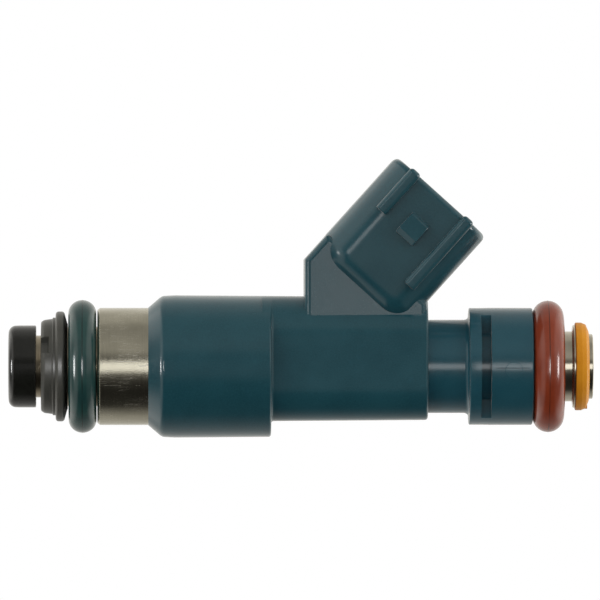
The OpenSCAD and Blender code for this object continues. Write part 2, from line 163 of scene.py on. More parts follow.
def ground_steel(name, light, dark, rough, stretch):
    """Steel with grinding or turning marks drawn out by stretch, and faint clouds in its tone."""
    steel = Finish(name, metallic=1.0)
    marks = steel.noise(0.05, 3.0, stretch)
    clouds = steel.noise(1.6, 3.0)
    steel.feed("Base Color", steel.blend(dark, light, (clouds * 0.5 + marks * 0.5).rise(0.25, 0.7)))
    steel.feed("Roughness", (marks - 0.5) * 0.25 + (clouds - 0.5) * 0.12 + rough)
    steel.relief(marks, 0.0015)
    return steel.material


def wear(material, *names):
    """Gives CAD nodes a material without touching their meshes."""
    for name in names:
        for place in nodes[name].material_slots:
            place.material = material


valve_steel = ground_steel("ground stainless", srgb(205, 203, 197), srgb(160, 158, 152), 0.28, (30, 30, 1))
wear(valve_steel, "orifice_plate", "valve_seat", "needle_guide", "needle", "lift_stop_shim", "spring_adjuster")

# ---- Valve ball ----------------------------------------------------------------------------------------
# Hardened bearing ball, lapped, welded to the needle's end. Nearly a mirror, with hairline lapping marks.

lapped = Finish("lapped ball steel", metallic=1.0, base_color=srgb(214, 213, 208))
hairlines = lapped.noise(0.03, 4.0, (1, 12, 1))
lapped.feed("Roughness", hairlines.rise(0.45, 0.75) * 0.12 + 0.06)
lapped.relief(hairlines, 0.0006)
wear(lapped.material, "valve_ball")

# ---- Armature and flux washer ---------------------------------------------------------------------------
# Soft magnetic iron, turned. The armature is pressed on the needle; the washer closes the field over the coil.

magnetic_iron = ground_steel("turned magnetic iron", srgb(150, 150, 148), srgb(112, 111, 108), 0.36, (60, 60, 1))
wear(magnetic_iron, "armature", "flux_washer")

# ---- Non-magnetic sleeve --------------------------------------------------------------------------------
# Thin drawn tube of non-magnetic stainless, brazed between the valve body and the core.

drawn_steel = ground_steel("drawn stainless", srgb(196, 194, 188), srgb(150, 148, 142), 0.3, (1, 1, 40))
wear(drawn_steel, "nonmagnetic_sleeve")

# ---- Return spring --------------------------------------------------------------------------------------
# Round music wire wound to a small compression spring. Its last turn at each end lies flat on its seat.


def skin(name, rings, closed_path):
    """Mesh of a grid of points: each ring is closed, and rings join to the next. The path closes on itself,
    or both its ends are capped with one flat face."""
    count, around = rings.shape[:2]
    steps = np.arange(count if closed_path else count - 1)
    here = steps[:, None] * around + np.arange(around)
    ahead = ((steps[:, None] + 1) % count) * around + np.arange(around)
    quads = np.stack([here, ahead, np.roll(ahead, -1, 1), np.roll(here, -1, 1)], -1).reshape(-1, 4)
    faces = quads.tolist()
    if not closed_path:
        faces += [np.arange(around).tolist(), ((count - 1) * around + np.arange(around)[::-1]).tolist()]
    mesh = bpy.data.meshes.new(name)
    mesh.from_pydata((rings.reshape(-1, 3) / 1000).tolist(), [], faces)
    # the volume's sign tells whether the faces point outwards
    corners = rings.reshape(-1, 3)[quads]
    fan = np.einsum("ij,ij->i", corners[:, 0], np.cross(corners[:, 1], corners[:, 2]))
    fan += np.einsum("ij,ij->i", corners[:, 0], np.cross(corners[:, 2], corners[:, 3]))
    if fan.sum() < 0:
        mesh.flip_normals()
    mesh.update()
    return mesh


def piece(name, mesh, material, body, slot, *stands_for, sharp=38.0):
    """Puts a finished mesh in the scene as one piece: smooth faces, crisp edges past an angle, its material, the
    body it moves with, and the CAD nodes that it stands for. Its slot argument is not used."""
    thing = bpy.data.objects.new(name, mesh)
    bpy.context.collection.objects.link(thing)
    mesh.materials.clear()
    mesh.materials.append(material)
    mesh.shade_smooth()
    mesh.set_sharp_from_angle(angle=np.radians(sharp))
    even = thing.modifiers.new("even shading", "WEIGHTED_NORMAL")
    even.keep_sharp = True
    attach(thing, body)
    if stands_for:
        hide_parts(*stands_for)
    return thing


def coil_of_wire(coil_r, wire_r, low, high, turns, end_turns, steps=640, sides=14):
    """Round wire on a helix. Its height stays flat over the end turns and rises evenly between them; the
    wire's section is a circle across the helix."""
    turn = np.linspace(0, turns, steps)
    climb = np.clip((turn - end_turns) / (turns - 2 * end_turns), 0, 1)
    closing = 2 * wire_r * 1.02 * (np.clip(turn / end_turns, 0, 1) + np.clip((turn - turns) / end_turns + 1, 0, 1))
    height = low + closing + climb * (high - low - 2 * wire_r * 1.02 * 2)
    angle = 2 * np.pi * turn[:, None]
    round_wire = np.linspace(0, 2 * np.pi, sides, endpoint=False)[None, :]
    reach = coil_r + wire_r * np.cos(round_wire)
    return np.stack(
        [reach * np.cos(angle), reach * np.sin(angle), height[:, None] + wire_r * np.sin(round_wire)], -1
    )


spring_low, spring_high = (1000 * corner.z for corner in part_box("return_spring"))
spring_wire, lift_room = 0.25, 0.13
spring_steel = ground_steel("spring wire", srgb(150, 148, 144), srgb(104, 102, 98), 0.3, (6, 6, 1))
piece(
    "coiled_return_spring",
    skin(
        "coiled_return_spring",
        coil_of_wire(1.4, spring_wire, spring_low + lift_room + spring_wire, spring_high - spring_wire, 9.0, 1.0),
        closed_path=False,
    ),
    spring_steel,
    "injector_body",
    "spring_steel",
    "return_spring",
)

# ---- Coil bobbin ----------------------------------------------------------------------------------------
# Cream glass-filled nylon spool with two posts that hold the terminals.


def moulded(name, tone, dark, rough, grain, depth, clouds=2.5, **values):
    """Moulded plastic: faint flow clouds and fine speckle in its tone, and a spark-eroded grain."""
    plastic = Finish(name, **values)
    flow = plastic.noise(clouds, 3.0)
    speckle = plastic.noise(grain, 2.0)
    plastic.feed("Base Color", plastic.blend(dark, tone, (flow * 0.6 + speckle * 0.4).rise(0.3, 0.66)))
    plastic.feed("Roughness", (speckle - 0.5) * 0.22 + (flow - 0.5) * 0.12 + rough)
    plastic.relief(speckle * 0.7 + flow * 0.3, depth)
    return plastic.material


bobbin_nylon = moulded("bobbin nylon", srgb(196, 186, 158), srgb(170, 160, 132), 0.5, 0.2, 0.01)
wear(bobbin_nylon, "coil_bobbin")

# ---- Coil winding ---------------------------------------------------------------------------------------
# Enamelled copper wire, wound in even layers. The outer layer shows its turns side by side.

wind_low, wind_high = (1000 * corner.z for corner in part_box("coil_winding"))
wind_r = 1000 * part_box("coil_winding")[1].x
wind_wire = 0.14
wind_bore = 4.4


def turned(name, outline, around=160):
    """Solid of revolution: a closed outline of radius and height, carried round the injector's axis."""
    angle = np.linspace(0, 2 * np.pi, around, endpoint=False)[None, :]
    radius, height = outline[:, :1], outline[:, 1:]
    rings = np.stack([radius * np.cos(angle), radius * np.sin(angle), height + 0 * angle], -1)
    return skin(name, rings, closed_path=True)


wind_turns = int((wind_high - wind_low) / (2 * wind_wire))
wave = np.linspace(0, 1, wind_turns * 6 + 1)
wound_r = wind_r - wind_wire + wind_wire * np.abs(np.sin(np.pi * wave * wind_turns)) ** 0.6
wound = np.concatenate(
    [
        np.stack([wound_r, wind_low + wave * (wind_high - wind_low)], -1),
        [[wind_bore, wind_high], [wind_bore, wind_low]],
    ]
)
enamel = Finish("enamelled copper", metallic=1.0, coat_weight=0.6, coat_roughness=0.12)
layers = enamel.noise(0.3, 3.0, (1, 1, 0.4))
enamel.feed("Base Color", enamel.blend(srgb(150, 76, 36), srgb(196, 112, 60), layers.rise(0.3, 0.7)))
enamel.feed("Roughness", layers * 0.25 + 0.2)
enamel.relief(layers, 0.01)
piece("wound_coil", turned("wound_coil", wound), enamel.material, "injector_body", "copper_wire", "coil_winding")

# ---- Terminals ------------------------------------------------------------------------------------------
# Stamped bronze strip, tin plated. Each runs from the bobbin's post through the plastic into the socket.

tin = Finish("tin plate", metallic=1.0)
rolled = tin.noise(0.12, 3.0, (1, 1, 5))
tin.feed("Base Color", tin.blend(srgb(176, 174, 166), srgb(214, 212, 204), rolled.rise(0.3, 0.7)))
tin.feed("Roughness", rolled * 0.2 + 0.22)
tin.relief(rolled, 0.003)
wear(tin.material, "terminal_1", "terminal_2")

# ---- Nozzle body ----------------------------------------------------------------------------------------
# Hardened stainless valve body, ground outside. It shows as a thin brownish neck behind the cap, where fuel
# has left a film.


def rounded(corners, steps=7):
    """Closed outline whose corners (a, b, radius) are arcs tangent to both sides. Each arc turns evenly from
    one side's direction to the other's."""
    corners = np.array(corners, float)
    spot, radius = corners[:, :2], corners[:, 2]
    back = np.roll(spot, 1, 0) - spot
    ahead = np.roll(spot, -1, 0) - spot
    back /= np.linalg.norm(back, axis=1, keepdims=True)
    ahead /= np.linalg.norm(ahead, axis=1, keepdims=True)
    half = np.arccos(np.clip((back * ahead).sum(1), -1, 1)) / 2
    middle = back + ahead
    middle /= np.linalg.norm(middle, axis=1, keepdims=True)
    centre = spot + middle * (radius / np.sin(half))[:, None]
    swing = (np.pi / 2 - half)[:, None] * np.linspace(-1, 1, steps)[None, :]
    # directions from the centre: straight back to the corner, swung towards each side in turn
    side = np.where(((ahead * middle[:, ::-1] * [-1, 1]).sum(1) > 0), 1.0, -1.0)[:, None]
    cos, sin = np.cos(swing), np.sin(swing) * side
    out_x = -middle[:, :1] * cos - middle[:, 1:] * sin
    out_y = -middle[:, 1:] * cos + middle[:, :1] * sin
    points = centre[:, None, :] + radius[:, None, None] * np.stack([out_x, out_y], -1)
    return points.reshape(-1, 2)


nozzle_low, nozzle_high = (1000 * corner.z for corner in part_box("nozzle_body"))
land_r = 1000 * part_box("nozzle_body")[1].x
tip_r = 3.44
step_z = 6.2
plate_r, plates_top, bore_r = 2.7, 3.1, 2.0
filmed_steel = ground_steel("fuel-filmed steel", srgb(178, 168, 148), srgb(136, 124, 104), 0.2, (40, 40, 1))
piece(
    "ground_nozzle_body",
    turned(
        "ground_nozzle_body",
        rounded([
            (plate_r, nozzle_low, 0.05), (tip_r, nozzle_low, 0.1), (tip_r, step_z, 0.05), (land_r, step_z, 0.12),
            (land_r, nozzle_high, 0.1), (bore_r, nozzle_high, 0.1), (bore_r, plates_top, 0.05),
            (plate_r, plates_top, 0.05),
        ]),
    ),
    filmed_steel,
    "injector_body",
    "nozzle_steel",
    "nozzle_body",
)

# ---- Nozzle cap -----------------------------------------------------------------------------------------
# Glossy black plastic cap, pressed over the nozzle tip to shield the spray plate.

cap_high = 1000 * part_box("nozzle_cap")[1].z
cap_r = 1000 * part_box("nozzle_cap")[1].x
cap_floor, spray_r = 0.9, 1.6
cap_black = moulded("cap black", srgb(28, 29, 26), srgb(20, 21, 18), 0.17, 0.12, 0.0015)
piece(
    "pressed_cap",
    turned(
        "pressed_cap",
        rounded([
            (spray_r, 0, 0.15), (cap_r - 0.05, 0, 0.82), (cap_r, 1.25, 0.2), (cap_r, cap_high, 0.13),
            (tip_r, cap_high, 0.08), (tip_r, cap_floor, 0.05), (spray_r, cap_floor, 0.05),
        ], 12),
    ),
    cap_black,
    "injector_body",
    "black_plastic",
    "nozzle_cap",
)

# ---- Lower spacer ring ----------------------------------------------------------------------------------
# Dark grey nylon ring that backs the lower O-ring. A hub, a flange and a back cone, with one small notch.

spacer_low, spacer_high = (1000 * corner.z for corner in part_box("lower_spacer_ring"))
flange_r, flange_low, cone_low = 1000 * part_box("lower_spacer_ring")[1].x, 5.22, 6.2
hub_r = 5.28
notch_at, notch_half, notch_top, notch_depth = np.radians(-118.3), np.radians(11.0), 4.45, 1.0


def dense(outline, step):
    """The closed outline with its long sides cut into equal pieces no longer than step."""
    ahead = np.roll(outline, -1, 0)
    pieces = np.ceil(np.linalg.norm(ahead - outline, axis=1) / step).astype(int).clip(1)
    return np.concatenate([a + (b - a) * np.arange(n)[:, None] / n for a, b, n in zip(outline, ahead, pieces)])


def notched_ring(name, outline, around=480):
    """Solid of revolution whose surface is pressed towards the axis inside one notch: the press is a product of
    steep steps in angle and in height."""
    angle = np.linspace(0, 2 * np.pi, around, endpoint=False)[None, :]
    radius, height = outline[:, :1], outline[:, 1:]
    turn = np.abs((angle - notch_at + np.pi) % (2 * np.pi) - np.pi)
    inside = np.clip((notch_half - turn) / np.radians(0.8), 0, 1) * np.clip((notch_top - height) / 0.05, 0, 1)
    radius = radius - inside * np.clip(radius - (hub_r - notch_depth), 0, notch_depth)
    rings = np.stack([radius * np.cos(angle), radius * np.sin(angle), height + 0 * angle], -1)
    return skin(name, rings, closed_path=True)


spacer_outline = dense(rounded([
    (tip_r, spacer_low, 0.05), (4.92, spacer_low, 0.2), (5.16, 3.95, 0.6), (hub_r, 4.86, 0.06), (5.42, 4.92, 0.05),
    (5.42, flange_low, 0.04), (flange_r, flange_low, 0.34), (flange_r, 6.14, 0.34), (4.8, 6.5, 0.06),
    (4.75, spacer_high, 0.02), (land_r, spacer_high, 0.02), (land_r, cone_low, 0.03), (tip_r, cone_low, 0.05),
]), 0.12)
spacer_grey = moulded("spacer grey", srgb(78, 78, 73), srgb(66, 67, 63), 0.34, 0.14, 0.004)
piece(
    "notched_spacer",
    notched_ring("notched_spacer", spacer_outline),
    spacer_grey,
    "injector_body",
    "grey_plastic",
    "lower_spacer_ring",
)

# ---- Lower O-ring ---------------------------------------------------------------------------------------
# Dark teal fluorocarbon rubber, moulded with a fine flash line round its outside, and wetted with assembly oil.


def seal_ring(name, middle_r, cord_r, centre_z, bore, tilt, spread=1.0, around=360, sides=96):
    """Torus flattened where it grips the tube and spread along the axis, with a hair-thin ridge of flash on its
    outer equator, leaning by tilt millimetres from one side to the other."""
    section = np.linspace(0, 2 * np.pi, sides, endpoint=False)[:, None]
    angle = np.linspace(0, 2 * np.pi, around, endpoint=False)[None, :]
    away = (section + np.pi) % (2 * np.pi) - np.pi
    flash = 0.018 * np.exp(-((away * cord_r / 0.06) ** 2))
    radius = np.maximum(middle_r + (cord_r + flash) * np.cos(section), bore) + 0 * angle
    lean = tilt * np.cos(angle)
    height = centre_z + spread * cord_r * np.sin(section) + lean
    return skin(name, np.stack([radius * np.cos(angle), radius * np.sin(angle), height], -1), closed_path=True)


def seal_rubber(name, tone, dark, rough, parting_z):
    """Oiled moulded rubber: soft clouds in its tone, a thin wet film, fine pores and flow lines round the ring,
    and painted shade along its parting line, a dark band that stands in for the shading of the flash ridge."""
    rubber = Finish(name)
    clouds = rubber.noise(1.8, 4.0)
    pores = rubber.noise(0.07, 2.0)
    film = rubber.noise(0.7, 3.0, (1, 1, 0.5))
    # painted shade: a patchy dark band along the parting line, standing in for the shade of the flash ridge
    parting_shade = (1.0 - abs(rubber.along("Z") - parting_z).rise(0.03, 0.08)) * clouds.rise(0.2, 0.6)
    colour = rubber.blend(dark, tone, (clouds * 0.7 + pores * 0.3).rise(0.3, 0.68))
    rubber.feed("Base Color", rubber.blend(colour, srgb(24, 22, 20), parting_shade * 0.7))
    rubber.feed("Roughness", (film - 0.5) * 0.12 + (pores - 0.5) * 0.08 + rough)
    rubber.relief(pores * 0.35 + film * 0.65, 0.004)
    return rubber.material


lower_low, lower_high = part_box("lower_o_ring")
lower_cord = 1000 * (lower_high.z - lower_low.z) / 2
lower_z = 1000 * (lower_high.z + lower_low.z) / 2
teal_rubber = seal_rubber("teal seal rubber", srgb(40, 76, 74), srgb(30, 63, 64), 0.2, lower_z + 0.06)
piece(
    "lower_seal",
    seal_ring("lower_seal", 1000 * lower_high.x - lower_cord, lower_cord - 0.02, lower_z + 0.06, land_r, 0.02, 1.06),
    teal_rubber,
    "injector_body",
    "teal_rubber",
    "lower_o_ring",
)

# ---- Steel housing --------------------------------------------------------------------------------------
# Deep-drawn steel can that closes the coil's magnetic circuit, turned outside to a satin finish. Handling has
# left a few fine scratches along it.

can_low, can_high = (1000 * corner.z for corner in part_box("steel_housing"))
can_r = 1000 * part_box("steel_housing")[1].x
coil_floor, chamber_r = 15.0, 5.9
satin = Finish("satin turned steel", metallic=1.0)
turning = satin.noise(0.045, 2.0, (50, 50, 1))
drag = satin.noise(0.16, 3.0, (1, 1, 26))
stain = satin.noise(2.2, 3.0, (1, 1, 1.5))
scratch = (1.0 - abs(drag - 0.5) * 2.0).rise(0.965, 0.995) * stain.rise(0.45, 0.6)
tone = satin.blend(srgb(176, 172, 155), srgb(196, 191, 173), (stain * 0.6 + turning * 0.4).rise(0.3, 0.7))
rubbed_x, rubbed_low, rubbed_high, gap_low, gap_high = 2.07, 10.2, 14.8, 12.6, 14.0
height, across = satin.along("Z"), satin.along("X")
rubbed = (1.0 - abs(across - rubbed_x).rise(0.015, 0.05)) * height.rise(rubbed_low, rubbed_low + 0.4)
rubbed = rubbed * (1.0 - height.rise(rubbed_high - 0.3, rubbed_high)) * turning.rise(0.35, 0.6)
rubbed = rubbed * (1.0 - height.rise(gap_low - 0.2, gap_low) * (1.0 - height.rise(gap_high, gap_high + 0.2)))
scratch = scratch.most(rubbed * (0.0 - satin.along("Y")).rise(0.0, 1.0))
satin.feed("Base Color", satin.blend(tone, srgb(228, 225, 215), scratch * 0.5))
grit = satin.noise(0.1, 2.0)
matt = (turning - 0.5) * 0.16 + (grit - 0.5) * 0.24 + scratch * 0.25
satin.feed("Roughness", matt + (stain - 0.5) * 0.04 + 0.17)
satin.relief(turning * 0.3 + grit * 0.7, 0.011)
piece(
    "satin_can",
    turned(
        "satin_can",
        rounded([
            (land_r, can_low, 0.08), (can_r - 0.22, can_low, 0.12), (can_r, can_low + 0.3, 0.15),
            (can_r, can_high, 0.1),
            (chamber_r, can_high, 0.1), (chamber_r, coil_floor, 0.2), (land_r, coil_floor, 0.05),
        ]),
        256,
    ),
    satin.material,
    "injector_body",
    "housing_steel",
    "steel_housing",
)

# ---- Inlet tube -----------------------------------------------------------------------------------------
# One turned stainless piece: the magnetic core below, the fuel tube above, with a bead rolled near its end and
# a rounded rim.

tube_low, tube_high = (1000 * corner.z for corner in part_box("inlet_tube"))
tube_r, core_r, core_top, spring_r, fuel_r, filter_r, entry_r = 3.89, 3.5, 22.0, 1.9, 2.3, 2.8, 3.0
bead_r = 1000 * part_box("inlet_tube")[1].x
neck_r = 3.6
bead_top = 62.85
tube_steel = ground_steel("turned tube steel", srgb(206, 199, 182), srgb(178, 170, 152), 0.15, (60, 60, 1))
piece(
    "beaded_inlet_tube",
    turned(
        "beaded_inlet_tube",
        rounded([
            (spring_r, tube_low, 0.1), (core_r, tube_low, 0.1), (core_r, core_top, 0.05), (tube_r, core_top, 0.1),
            (tube_r, 62.48, 0.08), (bead_r, 62.6, 0.1), (bead_r, bead_top, 0.06), (neck_r, bead_top, 0.05),
            (neck_r, tube_high, 0.12), (entry_r, tube_high, 0.2), (entry_r, tube_high - 1.9, 0.05),
            (filter_r, tube_high - 1.9, 0.05), (filter_r, 49.5, 0.2), (fuel_r, 48.5, 0.2), (fuel_r, 33.0, 0.1),
            (spring_r, 33.0, 0.1),
        ]),
        224,
    ),
    tube_steel,
    "injector_body",
    "tube_steel",
    "inlet_tube",
)

# ---- Blue overmold --------------------------------------------------------------------------------------
# Glass-filled nylon moulded round the housing, the coil's terminals and the inlet tube in one shot: barrel,
# block, web, connector shell with its ribs and latch, neck and collar.

lean = np.radians(48)
lean_z = 30.98
out_of_mouth = np.array([-np.sin(lean), 0, np.cos(lean)])
across_mouth = np.array([np.cos(lean), 0, np.sin(lean)])
barrel_top, block_top = 29.1, 46.45
shell_near, shell_far, shell_w, shell_d, shell_corner, wall = 11.4, 25.3, 13.3, 12.4, 3.6, 1.3


def on_connector(points):
    """Moves points from the connector's own frame (across, depth, out of the mouth) to the injector's."""
    origin = np.array([0, 0, lean_z])
    return origin + points[..., :1] * across_mouth + points[..., 1:2] * [0, 1, 0] + points[..., 2:] * out_of_mouth


def edge_round(radius, steps=6):
    """Inset and distance of a quarter-round edge, from the face's rim to where the side begins."""
    turn = np.linspace(0, np.pi / 2, steps)
    return radius * (1 - np.sin(turn)), radius * (1 - np.cos(turn))


def box_outline(low_x, high_x, half_y, low_r, high_r, inset, steps=10):
    """Rectangle in X and Y, with one radius at its low-X corners and another at its high-X corners, drawn in
    by inset all round."""
    quarter = np.linspace(0, np.pi / 2, steps)
    parts = []
    for start, x, y, r in (
        (0, high_x - high_r, half_y - high_r, high_r),
        (1, low_x + low_r, half_y - low_r, low_r),
        (2, low_x + low_r, low_r - half_y, low_r),
        (3, high_x - high_r, high_r - half_y, high_r),
    ):
        turn = quarter + start * np.pi / 2
        parts.append(np.stack([x + (r - inset) * np.cos(turn), y + (r - inset) * np.sin(turn)], -1))
    return np.concatenate(parts)


def stacked(outlines, heights):
    """Rings of an outline at each height."""
    return np.stack([np.c_[line, np.full(len(line), z)] for line, z in zip(outlines, heights)])


def solid(name, rings):
    """A scratch object that takes part in joining and cutting."""
    thing = bpy.data.objects.new(name, skin(name, rings, closed_path=False))
    bpy.context.collection.objects.link(thing)
    return thing


def shaped(name, base, *steps):
    """Mesh of a scratch solid after others are joined to it or cut from it, in order."""
    for operation, other in steps:
        change = base.modifiers.new(operation, "BOOLEAN")
        change.operation = operation
        change.solver = "EXACT"
        change.object = other
    bpy.context.view_layer.update()
    made = bpy.data.meshes.new_from_object(base.evaluated_get(bpy.context.evaluated_depsgraph_get()))
    made.name = name
    for thing in [base, *(other for _, other in steps)]:
        bpy.data.objects.remove(thing)
    return made


def revolved(name, outline, around=192):
    """Scratch solid of revolution about the axis: an open outline of radius and height from bottom to top."""
    angle = np.linspace(0, 2 * np.pi, around, endpoint=False)[None, :]
    radius, height = outline[:, :1], outline[:, 1:]
    return solid(name, np.stack([radius * np.cos(angle), radius * np.sin(angle), height + 0 * angle], -1))


def open_outline(corners, steps=7):
    """A rounded outline without its first and last corner, which lie on the axis."""
    return rounded([(0, corners[0][1], 0.001), *corners, (0, corners[-1][1], 0.001)], steps)[steps:-steps]


# the block: its foot flares into the barrel's face, its sides draw in slightly, and its top edge is rounded
block_foot, block_edge, block_draft = 0.3, 0.3, np.tan(np.radians(0.4))
flare, rise = edge_round(block_foot)
top_in, top_drop = edge_round(block_edge)
block_z = np.r_[barrel_top - 1.0, barrel_top + rise, block_top - top_drop[::-1]]
block_inset = np.r_[-flare[0], -flare, 0.12 + top_in[::-1]]
block_rings = []
for inset, z in zip(block_inset, block_z):
    half_y = 5.9 - (block_top - z) * block_draft
    line = box_outline(-7.82, 6.05, half_y, 4.6, 4.0, 0)
    flared = box_outline(-7.82, 6.05, half_y, 4.6, 4.0, inset)
    weight = np.clip((line[:, :1] + 7.4) / 2.5, 0, 1) if inset < 0 else 1.0
    block_rings.append(np.c_[line + (flared - line) * weight, np.full(len(line), z)])
block = solid("block", np.stack(block_rings))

# the web: a flat plate with five sides, rounded along its rim
web_half, web_edge, web_base, web_draft = 5.05, 0.7, 32.78, np.tan(np.radians(0.4))


def corner_at(across, out):
    """Place in X and Z of a point of the connector's frame."""
    x, _, z = on_connector(np.array([across, 0, out]))
    return x, z


web_out = 13.8
left_x, left_z = corner_at(-shell_w / 2 + 0.05, web_out)
right_x, right_z = corner_at(shell_w / 2, web_out)
web_corners = np.array([
    (-2.0, web_base),
    (left_x + (left_z - web_base) * np.tan(lean), web_base),
    (left_x, left_z),
    (right_x - (block_top - 0.12 - right_z) * np.tan(lean), block_top - 0.12),
    (-2.0, block_top - 0.12),
])


def drawn_in(corners, inset):
    """The corners of a convex outline after each side moves inwards by inset."""
    ahead = np.roll(corners, -1, 0) - corners
    ahead /= np.linalg.norm(ahead, axis=1, keepdims=True)
    back = np.roll(ahead, 1, 0)
    turn = ahead[:, 0] * back[:, 1] - ahead[:, 1] * back[:, 0]
    return corners + inset * (ahead - back) / np.abs(turn)[:, None]


web_in, web_depth = edge_round(web_edge)
web_y = np.r_[-web_half + web_depth, web_half - web_depth[::-1]]
web_inset = np.r_[web_in, web_in[::-1]]
web_rings = []
for inset, y in zip(web_inset, web_y):
    plate = drawn_in(web_corners, inset)
    line = rounded(np.c_[plate, [0.05, 0.35, 0.3, 0.3, 0.05]], 5)
    drawn = y * (1 - (line[:, 1] - web_base) * web_draft / web_half)
    web_rings.append(np.stack([line[:, 0], drawn, line[:, 1]], -1))
web = solid("web", np.stack(web_rings))

# the connector shell: closed and well rounded at its foot, with a softly rounded mouth
foot_r, mouth_r = 2.4, 0.7
foot_in, foot_rise = edge_round(foot_r, 10)
mouth_in, mouth_drop = edge_round(mouth_r, 7)
shell_z = np.r_[shell_near + foot_rise, shell_far - mouth_drop[::-1]]
shell_draft = np.tan(np.radians(0.5))
shell_inset = np.r_[foot_in, mouth_in[::-1] * 0.8]
half_w, half_d = shell_w / 2, shell_d / 2
shell = solid("shell", on_connector(stacked(
    [
        box_outline(-half_w, half_w, half_d - (shell_far - z) * shell_draft, shell_corner, shell_corner, inset, 14)
        for inset, z in zip(shell_inset, shell_z)
    ],
    shell_z,
)))

# the socket: parallel walls, a small lead-in at its mouth and a rounded floor
socket_floor = 16.5
lead_in, lead_drop = edge_round(0.35, 5)
socket_z = np.r_[socket_floor, socket_floor + 0.3, shell_far - lead_drop[::-1], shell_far + 1]
socket_inset = np.r_[0.3, 0, -lead_in[::-1], -lead_in[0]]
socket = solid("socket", on_connector(stacked(
    [
        box_outline(-half_w + wall, half_w - wall, half_d - wall, 2.3, 2.3, inset, 12)
        for inset in socket_inset
    ],
    socket_z,
)))

# the two guide ribs, proud of the mouth, and the latch ramp between them
rib_w, rib_h, rib_proud, rib_gap = 1.45, 1.0, 0.2, 7.86


def rib(name, across, length):
    """Bar with rounded edges along the shell's latch side."""
    foot_in, foot_z = edge_round(0.16, 4)
    tip_in, tip_z = edge_round(0.45, 7)
    top = shell_far + rib_proud
    heights = np.r_[top - length + foot_z, top - tip_z[::-1]]
    insets = np.r_[foot_in, tip_in[::-1]]
    lines = [
        box_outline(-rib_w / 2, rib_w / 2, 1.0, 0.46, 0.46, inset, 6) + [across, -half_d - rib_h + 1.0]
        for inset in insets
    ]
    return solid(name, on_connector(stacked(lines, heights)))


short_rib = rib("short_rib", -rib_gap / 2, 5.9)
long_rib = rib("long_rib", rib_gap / 2, 10.0)

latch_w, latch_l, latch_h, latch_at = 2.5, 2.7, 1.25, shell_far - 4.9
latch_side = np.array([
    (-half_d + 0.4, latch_at + latch_l / 2 + 0.35),
    (-half_d + 0.4, latch_at - latch_l / 2),
    (-half_d - latch_h * 0.6, latch_at - latch_l / 2),
    (-half_d - latch_h, latch_at - latch_l / 2 + 0.6),
    (-half_d - latch_h * 0.72, latch_at + latch_l / 2 - 0.1),
])
latch_in, latch_depth = edge_round(0.14, 4)
latch_rings = []
for inset, x in zip(
    np.r_[latch_in, latch_in[::-1]], np.r_[-latch_w / 2 + latch_depth, latch_w / 2 - latch_depth[::-1]]
):
    line = rounded(np.c_[drawn_in(latch_side[::-1], inset), [0.12, 0.1, 0.1, 0.05, 0.05]], 4)
    latch_rings.append(np.stack([np.full(len(line), x), line[:, 0], line[:, 1]], -1))
latch = solid("latch", on_connector(np.stack(latch_rings)))

# the bore that the housing and the inlet tube fill
core = revolved("core", np.array([(can_r, 14.0), (can_r, can_high), (tube_r, can_high), (tube_r, 60.0)]))

# the barrel over the housing: a cone, a soft shoulder, and sides with a little draft
barrel = revolved(
    "barrel",
    open_outline([
        (6.54, 15.5, 0.02), (7.82, 17.0, 1.0), (7.895, 18.4, 0.9), (7.82, barrel_top, 0.28),
    ]),
    256,
)
textured_mesh = shaped(
    "textured_overmold",
    barrel,
    ("UNION", block),
    ("DIFFERENCE", core),
)

core_2 = revolved("core", np.array([(tube_r, 14.0), (tube_r, 60.0)]))
neck = revolved(
    "neck",
    open_outline([
        (5.17, block_top - 0.6, 0.01), (5.17, 51.05, 0.55), (6.48, 51.05, 0.14), (6.48, 52.35, 0.04),
        (6.5, 53.45, 0.04), (6.49, 58.1, 0.18),
    ]),
    256,
)
slot_low, slot_high, slot_half, shelf_y, slope_y, slot_core = 52.35, 53.45, 5.74, 2.8, 3.15, 4.6
slots = []
for side in (-1, 1):
    reach = np.arcsin(np.sqrt(slot_core**2 - shelf_y**2) / slot_core)
    arc = np.linspace(-reach, reach, 24)
    line = np.concatenate([
        np.stack([slot_core * np.sin(arc), side * slot_core * np.cos(arc)], -1),
        [(slot_half, side * slope_y), (slot_half, side * 8), (-slot_half, side * 8), (-slot_half, side * slope_y)],
    ])
    slots.append(solid("slot", stacked([line, line], [slot_low, slot_high])))
collar_mesh = shaped("collar", neck, *(("DIFFERENCE", slot) for slot in slots), ("DIFFERENCE", core_2))

core_3, core_4 = (revolved("core", np.array([(tube_r + 0.8, 14.0), (tube_r + 0.8, 60.0)])) for _ in range(2))
web_mesh = shaped("web", web, ("DIFFERENCE", core_3))
connector_mesh = shaped(
    "connector",
    shell,
    ("UNION", short_rib),
    ("UNION", long_rib),
    ("UNION", latch),
    ("DIFFERENCE", socket),
    ("DIFFERENCE", core_4),
)


